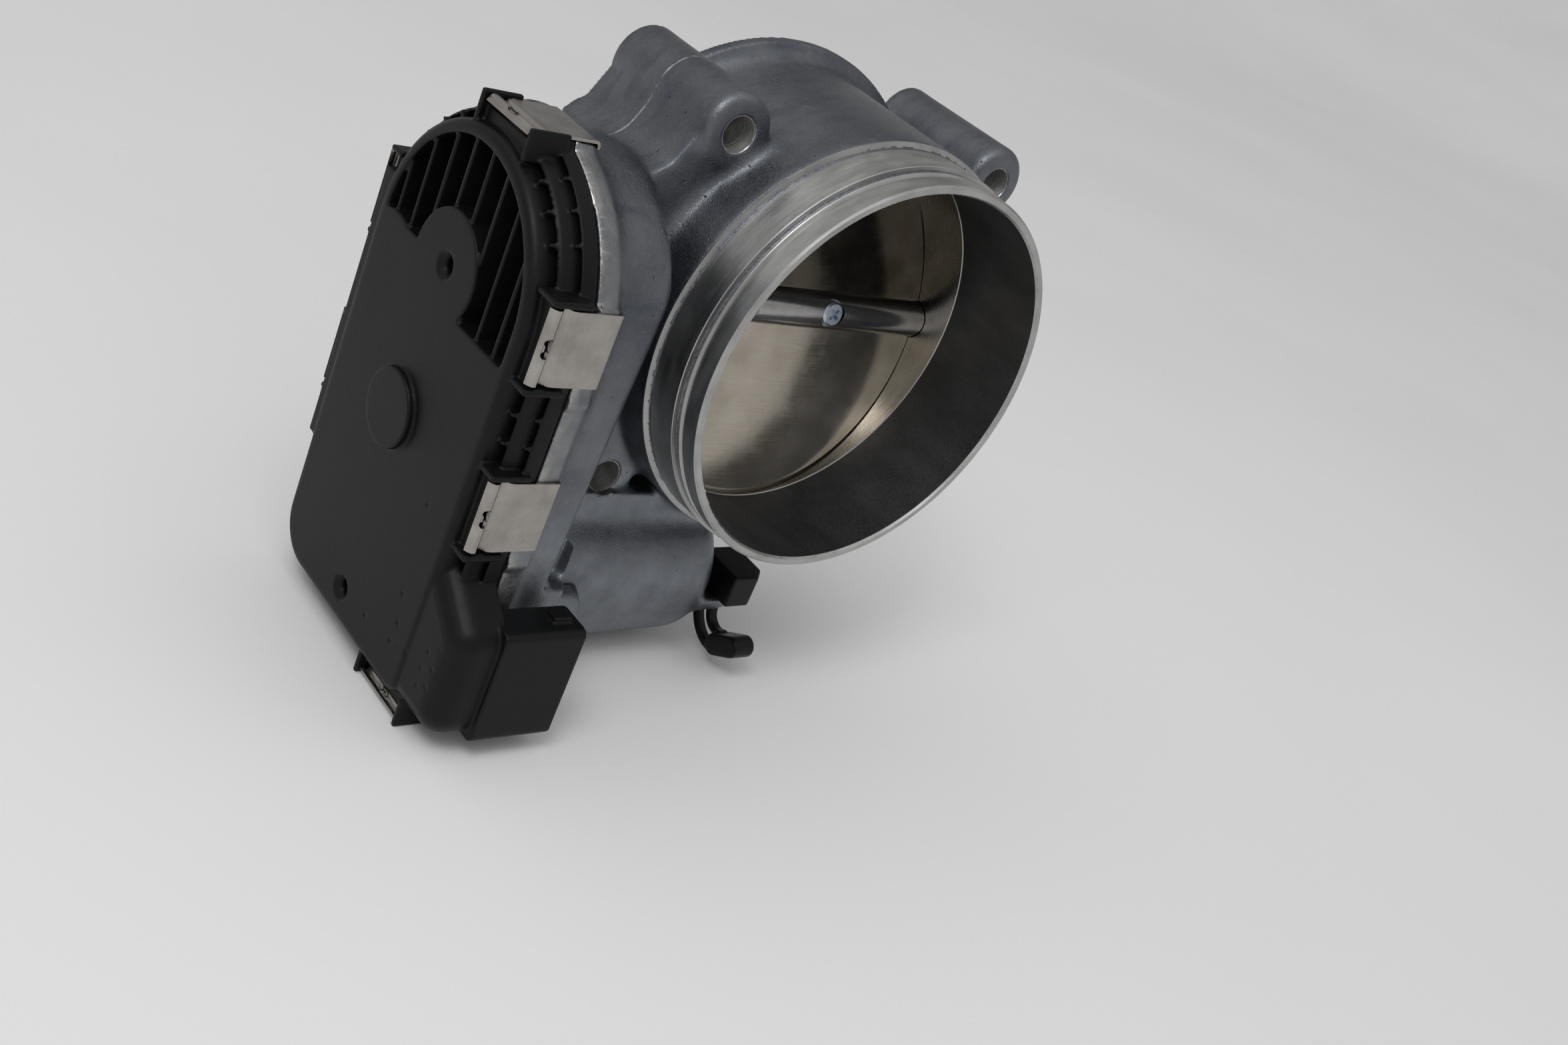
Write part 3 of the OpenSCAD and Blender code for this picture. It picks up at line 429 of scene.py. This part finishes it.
def through(mesh, kind, **settings):
    """The mesh after one modifier."""
    thing = bpy.data.objects.new("work", mesh)
    bpy.context.scene.collection.objects.link(thing)
    modifier = thing.modifiers.new("work", kind)
    for key, value in settings.items():
        setattr(modifier, key, value)
    shape = thing.evaluated_get(bpy.context.evaluated_depsgraph_get())
    made = bpy.data.meshes.new_from_object(shape)
    bpy.data.objects.remove(thing)
    return made


def points_of(mesh):
    flat = np.empty(len(mesh.vertices) * 3, np.float32)
    mesh.vertices.foreach_get("co", flat)
    return flat.reshape(-1, 3).astype(float)


def normals_of(mesh):
    flat = np.empty(len(mesh.vertices) * 3, np.float32)
    mesh.vertices.foreach_get("normal", flat)
    return flat.reshape(-1, 3).astype(float)


def edges_of(mesh):
    flat = np.empty(len(mesh.edges) * 2, np.int32)
    mesh.edges.foreach_get("vertices", flat)
    return flat.reshape(-1, 2)


def set_points(mesh, points):
    mesh.vertices.foreach_set("co", points.astype(np.float32).ravel())
    mesh.update()


def rounded_copy(node, name, voxel, soft, rounds, edge_wear):
    """The node's solid remeshed evenly, laid back on its true surface, and then relaxed.

    soft says from a point how freely it may move, from 0 to 1. Inner corners fill at that rate, and outer
    edges wear back at edge_wear of it, as they do in a casting.
    """
    bm = welded(node)
    tree = BVHTree.FromBMesh(bm)
    mesh = bpy.data.meshes.new(name)
    bm.to_mesh(mesh)
    bm.free()
    mesh = through(mesh, "REMESH", mode="VOXEL", voxel_size=voxel, adaptivity=0.0)
    mesh.name = name
    points = np.array([tree.find_nearest(Vector(p))[0] for p in points_of(mesh)])
    ends = edges_of(mesh)
    both = np.concatenate([ends, ends[:, ::-1]])
    count = np.maximum(np.bincount(both[:, 0], minlength=len(points)), 1)[:, None]
    free = soft(points)[:, None]
    for step in range(rounds):
        if step % 6 == 0:
            set_points(mesh, points)
            out = normals_of(mesh)
        pull = np.stack([np.bincount(both[:, 0], points[both[:, 1], k], len(points)) for k in range(3)], 1)
        pull = pull / count - points
        outward = (pull * out).sum(1, keepdims=True) > 0
        points = points + pull * free * np.where(outward, STRIDE, STRIDE * edge_wear)
    set_points(mesh, points)
    return mesh


def thinned(mesh, triangles):
    """The mesh with flat stretches collapsed until it has at most this many triangles."""
    share = triangles / (2 * len(mesh.polygons))
    if share < 1:
        mesh = through(mesh, "DECIMATE", ratio=share)
    mesh.polygons.foreach_set("use_smooth", [True] * len(mesh.polygons))
    return mesh


def lathe(name, profile, steps, centre=(0.0, 0.0)):
    """A closed profile of (radius, y) turned about an axis along Y through a centre in x and z."""
    bm = bmesh.new()
    rings = []
    for k in range(steps):
        a = 2 * math.pi * k / steps
        rings.append([bm.verts.new((centre[0] + r * math.cos(a), y, centre[1] + r * math.sin(a)))
                      for r, y in profile])
    n = len(profile)
    for k in range(steps):
        here, there = rings[k], rings[(k + 1) % steps]
        for i in range(n):
            bm.faces.new((here[i], here[(i + 1) % n], there[(i + 1) % n], there[i]))
    bmesh.ops.recalc_face_normals(bm, faces=bm.faces)
    for face in bm.faces:
        face.smooth = True
    mesh = bpy.data.meshes.new(name)
    bm.to_mesh(mesh)
    bm.free()
    return mesh


def keep_sharp(piece, degrees):
    """Edges above an angle stay sharp on an otherwise smooth piece."""
    piece.data.set_sharp_from_angle(angle=math.radians(degrees))


# ---------------------------------------------------------------- the casting
def ramp(value, low, high):
    return np.clip((value - low) / (high - low), 0, 1)


def past_shaft(distance):
    """The y of a place that many millimetres past the shaft."""
    return SHAFT_Y + distance * mm


def on_drawing(p):
    """Points as millimetres of x, of y past the shaft, off the bore's axis, and off the nearest bolt's."""
    x = p[:, 0] / mm
    y = (p[:, 1] - SHAFT_Y) / mm
    r = np.hypot(p[:, 0], p[:, 2]) / mm
    bolt = np.hypot(np.abs(p[:, 0]) - BOLT_X, np.abs(p[:, 2]) - BOLT_Z) / mm
    return x, y, r, bolt


def case_distance(p):
    """Distance of points from the gear case's middle line, the way its outline is drawn."""
    y = p[:, 1] - SHAFT_Y
    z = p[:, 2]
    below = np.clip(-z - CASE_DROP, 0, None)
    foot_flattening = 0.4
    return np.where(z > 0, np.hypot(y, z), np.hypot(np.abs(y), foot_flattening * below))


def cast_softness(p):
    """1 on the as-cast outside, 0 on what is machined or inside."""
    x, y, r, bolt = on_drawing(p)
    motor = np.hypot(p[:, 1] - SHAFT_Y, p[:, 2] - MOTOR_Z) / mm
    shaft = np.hypot(p[:, 1] - SHAFT_Y, p[:, 2]) / mm
    off_bore = ramp(r, 42, 43.5)
    off_spigot = np.maximum(ramp(y, -19.6, -18.2), ramp(r, 46, 47))
    off_engine_face = np.maximum(1 - ramp(y, 19.4, 20.4), ramp(-x, 50, 51))
    off_bolts = ramp(bolt, 4.2, 5.2)
    off_rim = ramp(x, CASE_RIM_X / mm, CASE_RIM_X / mm + 0.5)
    off_motor_well = np.maximum(ramp(motor, 16.5, 17), ramp(x, -4.5, -3.5))
    off_bearings = np.maximum(ramp(shaft, 9, 9.6), 1 - ramp(np.abs(x), 40, 41))
    free = off_bore * off_spigot * off_engine_face * off_bolts * off_rim * off_motor_well * off_bearings
    off_middle = case_distance(p) / mm
    inside_case = ((off_middle < 27.4) & (x < -56.7)) | ((off_middle < 24.7) & (x < -52.8))
    return np.where(inside_case, 0, free)


def cut_depth(p):
    """How far inside a machined area a point lies, in millimetres; below 0 outside."""
    x, y, r, bolt = on_drawing(p)
    bore = np.minimum(y - (FINISHED_BORE_Y - SHAFT_Y) / mm, 42 - r)
    engine_face = np.minimum(y - (ENGINE_FACE_Y - SHAFT_Y) / mm, x - GEAR_CASE_X / mm)
    bolt_hole = BOLT_WALL_R / mm - bolt
    lip = np.minimum(np.minimum(-33.2 - y, r - 40.9), 46 - r)
    rim = CASE_RIM_X / mm - x
    return np.maximum.reduce([bore, engine_face, bolt_hole, lip, rim])


def casting():
    """The casting, drawn back a little where the turned, bored and drilled pieces cover it."""
    voxel = 0.5 * mm
    rounds = 45
    edge_wear = 0.16
    mesh = rounded_copy("throttle_housing", "housing_casting", voxel, cast_softness, rounds, edge_wear)
    points = points_of(mesh)
    y = points[:, 1]
    r = np.hypot(points[:, 0], points[:, 2])
    slack = 0.3 * mm
    under_band = (y < BAND_END_Y - slack) & (r > CAST_BORE_R + slack)
    behind_liner = (r < CAST_BORE_R + slack / 2) & (y < ENGINE_FACE_Y)
    shrink = np.where(under_band, (r - 0.35 * mm) / r, np.where(behind_liner, (r + 0.5 * mm) / r, 1))
    points[:, 0] *= shrink
    points[:, 2] *= shrink
    points[:, 1] = np.where(under_band & (y < LIP_Y + slack), LIP_Y + 0.4 * mm, y)
    # make room for the walls of the bolt holes
    from_bolt = points[:, ::2] - np.sign(points[:, ::2]) * np.array([BOLT_X, BOLT_Z])
    reach = np.hypot(from_bolt[:, 0], from_bolt[:, 1])
    in_hole = (reach < BOLT_WALL_R - 0.05 * mm) & (y > BOLT_HOLE_Y + 0.15 * mm) & (y < ENGINE_FACE_Y)
    points[:, ::2] += np.where(in_hole, 0.2 * mm / np.maximum(reach, 1 * mm), 0)[:, None] * from_bolt
    set_points(mesh, points)
    mesh = thinned(mesh, BIG_PIECE_TRIANGLES)
    mesh.attributes.new("cut", "FLOAT", "POINT").data.foreach_set("value", cut_depth(points_of(mesh)))
    new_piece("housing_casting", mesh, "housing", "cast_aluminium", "throttle_housing")
    # only the milled engine face has a sharp edge, and the cast corners stay smooth
    mesh.set_sharp_from_angle(angle=math.radians(50))
    marks = mesh.attributes["sharp_edge"].data
    sharp = np.zeros(len(mesh.edges), bool)
    marks.foreach_get("value", sharp)
    places = points_of(mesh)
    on_face = (places[:, 1] > ENGINE_FACE_Y - slack) & (places[:, 0] > GEAR_CASE_X)
    marks.foreach_set("value", sharp & on_face[edges_of(mesh)].all(axis=1))


def spigot():
    """The turned end of the air tube, with its double groove and a broken corner at the lip."""
    lip = [(41.22, -33.4), (41.6, -33.9), (42.7, -33.9), (43.1, -33.5)]
    front_groove = [(43.1, -29.75), (42.75, -29.55), (42.62, -29.2), (42.62, -28.85)]
    ridge = [(43.15, -28.5), (43.25, -28.3), (43.15, -28.1)]
    back_groove = [(42.75, -27.8), (42.7, -27.5), (42.78, -27.2)]
    band = [(43.75, -27.05), (43.9, -26.9), (43.9, -19.8)]
    shoulder = [(43.7, -19.5), (43.7, -19.2), (45.0, -18.75), (45.0, -18.4)]
    inside = [(42.0, -18.4), (41.8, -20), (41.8, -33.35)]
    outline = lip + front_groove + ridge + back_groove + band + shoulder + inside
    mesh = lathe("turned_spigot", [(r * mm, past_shaft(v)) for r, v in outline], TUBE_STEPS)
    piece = new_piece("turned_spigot", mesh, "housing", "cast_aluminium")
    mesh.materials[0] = TURNED
    keep_sharp(piece, 25)


def bore_liner():
    """The inside of the air tube: as cast in front, then a small step up to the finished bore."""
    outline = [(41.22, -33.38), (41.22, -10.45), (41.0, -10.25), (41.0, 22.5), (41.35, 22.9), (41.7, 22.9),
               (41.7, -33.38)]
    tube = lathe("bore_liner", [(r * mm, past_shaft(v)) for r, v in outline], TUBE_STEPS)
    shaft_hole_r = 4.45 * mm
    along_shaft = Matrix.Translation((0, SHAFT_Y, 0)) @ Matrix.Rotation(math.pi / 2, 4, "Y")
    bm = bmesh.new()
    bmesh.ops.create_cone(bm, cap_ends=True, segments=64, radius1=shaft_hole_r, radius2=shaft_hole_r,
                          depth=100 * mm, matrix=along_shaft)
    drill_mesh = bpy.data.meshes.new("drill")
    bm.to_mesh(drill_mesh)
    bm.free()
    drill = bpy.data.objects.new("drill", drill_mesh)
    bpy.context.scene.collection.objects.link(drill)
    mesh = through(tube, "BOOLEAN", operation="DIFFERENCE", object=drill, solver="EXACT")
    bpy.data.objects.remove(drill)
    mesh.name = "bore_liner"
    piece = new_piece("bore_liner", mesh, "housing", "cast_aluminium")
    mesh.materials[0] = BORE
    keep_sharp(piece, 25)


def bolt_holes():
    """The drilled walls of the four bolt holes."""
    back = ENGINE_FACE_Y + 0.25 * mm
    hole_r = 3.46 * mm
    profile = [(hole_r, BOLT_HOLE_Y), (hole_r, back), (BOLT_WALL_R, back), (BOLT_WALL_R, BOLT_HOLE_Y)]
    places = (("upper_left", -1, 1), ("upper_right", 1, 1), ("lower_left", -1, -1), ("lower_right", 1, -1))
    for place, x, z in places:
        mesh = lathe(f"bolt_hole_{place}", profile, 72, (x * BOLT_X, z * BOLT_Z))
        piece = new_piece(f"bolt_hole_{place}", mesh, "housing", "cast_aluminium")
        mesh.materials[0] = DRILLED
        keep_sharp(piece, 25)


TURNED = turned_aluminium()
BORE = bore_surface()
DRILLED = drilled_aluminium()
casting()
spigot()
bore_liner()
bolt_holes()


# ---------------------------------------------------------------- the cover
def freely(p):
    """Every point may move."""
    return np.ones(len(p))


def cover():
    """The gear cover with the small radius that its mould leaves on every edge."""
    voxel = 0.28 * mm
    mesh = rounded_copy("gear_cover", "moulded_cover", voxel, freely, 2, 1.0)
    mesh = thinned(mesh, BIG_PIECE_TRIANGLES)
    new_piece("moulded_cover", mesh, "housing", "cover_plastic", "gear_cover")


cover()


def softened(node, voxel, rounds, slot, triangles):
    """A small node with its edges rounded over."""
    mesh = rounded_copy(node, f"{node}_soft", voxel, freely, rounds, 1.0)
    new_piece(f"{node}_soft", thinned(mesh, triangles), "housing", slot, node)


for strap_part in ("strap_holder", "cable_strap"):
    softened(strap_part, 0.2 * mm, 10, "black_plastic", 30_000)


def bent_clips():
    """The spring clips with their rolled bends shaded smooth and their cut edges sharp."""
    bm = welded("cover_clips")
    for face in bm.faces:
        face.smooth = True
    mesh = bpy.data.meshes.new("bent_clips")
    bm.to_mesh(mesh)
    bm.free()
    keep_sharp(new_piece("bent_clips", mesh, "housing", "clip_steel", "cover_clips"), 32)


bent_clips()


# ---------------------------------------------------------------- the stage
def stage_material():
    """Pale card with the faintest cloud in its shade."""
    s = Surface("table", (0.8, 0.8, 0.81), 0.42, Specular_IOR_Level=0.12)
    cloud = s.noise(0.25, 3.0)
    s.colour(s.blend(s.span(cloud, 0.3, 0.7), (0.835, 0.835, 0.838), (0.87, 0.87, 0.873)))
    s.rough(s.span(cloud, 0.3, 0.7, 0.36, 0.46))
    return s.material


def table():
    """A pale round floor under the object that rises gently all round, far off."""
    flat, turn, steepest, slope, steps = 1.9, 1.6, math.radians(16), 6.0, 96
    floor_z = cad_low.z
    profile = [(0.5, floor_z), (flat, floor_z)]
    profile += [(flat + turn * math.sin(a), floor_z + turn * (1 - math.cos(a)))
                for a in np.linspace(0.04, steepest, 10)]
    far_r, far_z = profile[-1]
    profile.append((far_r + slope * math.cos(steepest), far_z + slope * math.sin(steepest)))
    bm = bmesh.new()
    angles = [2 * math.pi * k / steps for k in range(steps)]
    rows = [[bm.verts.new((r * math.cos(a), r * math.sin(a), z)) for a in angles] for r, z in profile]
    bm.faces.new(rows[0])
    for near, far in zip(rows, rows[1:]):
        for k in range(steps):
            j = (k + 1) % steps
            bm.faces.new((near[k], far[k], far[j], near[j])).smooth = True
    mesh = bpy.data.meshes.new("table")
    bm.to_mesh(mesh)
    bm.free()
    mesh.materials.append(stage_material())
    sheet = bpy.data.objects.new("table", mesh)
    bpy.context.scene.collection.objects.link(sheet)


def soft_light(name, towards, distance, size, watts):
    """An area light out along a direction from the object, facing it."""
    lamp = bpy.data.lights.new(name, "AREA")
    lamp.shape = "RECTANGLE"
    lamp.size, lamp.size_y = size
    lamp.energy = watts
    thing = bpy.data.objects.new(name, lamp)
    way = Vector(towards).normalized()
    thing.location = way * distance
    thing.rotation_mode = "QUATERNION"
    thing.rotation_quaternion = (-way).to_track_quat("-Z", "Y")
    bpy.context.scene.collection.objects.link(thing)


def surroundings():
    """A pale tent of light, brighter overhead and dimmer on its far side, with a lamp above and a window."""
    world = bpy.data.worlds.new("tent")
    world.use_nodes = True
    tree = world.node_tree
    background = tree.nodes["Background"]
    background.inputs["Color"].default_value = (0.99, 0.985, 0.985, 1)
    place = tree.nodes.new("ShaderNodeTexCoord")
    split = tree.nodes.new("ShaderNodeSeparateXYZ")
    tree.links.new(place.outputs["Generated"], split.inputs[0])
    rise = spanned(tree, split.outputs["Z"], 0.0, 1.0, 0.335, 0.78)
    far_way = (0.755, 0.656, 0.0)
    ahead = tree.nodes.new("ShaderNodeVectorMath")
    ahead.operation = "DOT_PRODUCT"
    ahead.inputs[1].default_value = far_way
    tree.links.new(place.outputs["Generated"], ahead.inputs[0])
    far_wall = spanned(tree, ahead.outputs["Value"], 0.15, 0.85, 1.04, 0.5)
    strength = tree.nodes.new("ShaderNodeMath")
    strength.operation = "MULTIPLY"
    tree.links.new(rise, strength.inputs[0])
    tree.links.new(far_wall, strength.inputs[1])
    tree.links.new(strength.outputs["Value"], background.inputs["Strength"])
    bpy.context.scene.world = world
    bpy.context.scene.view_settings.view_transform = "Standard"
    soft_light("above", (-0.45, -0.5, 1.0), 2.4, (1.2, 1.2), 6.5)
    soft_light("window", (-0.58, -0.33, 0.74), 1.0, (0.3, 0.3), 2.0)


def camera():
    """The view from low in front of the gear cover, rolled to one side."""
    stand = Vector((-0.2382, -0.2551, 0.1066))
    looks_at = Vector((-0.0044, -0.0529, -0.0349))
    roll = math.radians(24.4)
    data = bpy.data.cameras.new("camera")
    data.sensor_width = 36
    data.lens = 37.9
    data.clip_start = 0.01
    thing = bpy.data.objects.new("camera", data)
    thing.location = stand
    thing.rotation_mode = "QUATERNION"
    thing.rotation_quaternion = (looks_at - stand).to_track_quat("-Z", "Y") @ Quaternion((0, 0, 1), roll)
    bpy.context.scene.collection.objects.link(thing)
    bpy.context.scene.camera = thing


table()
surroundings()
camera()
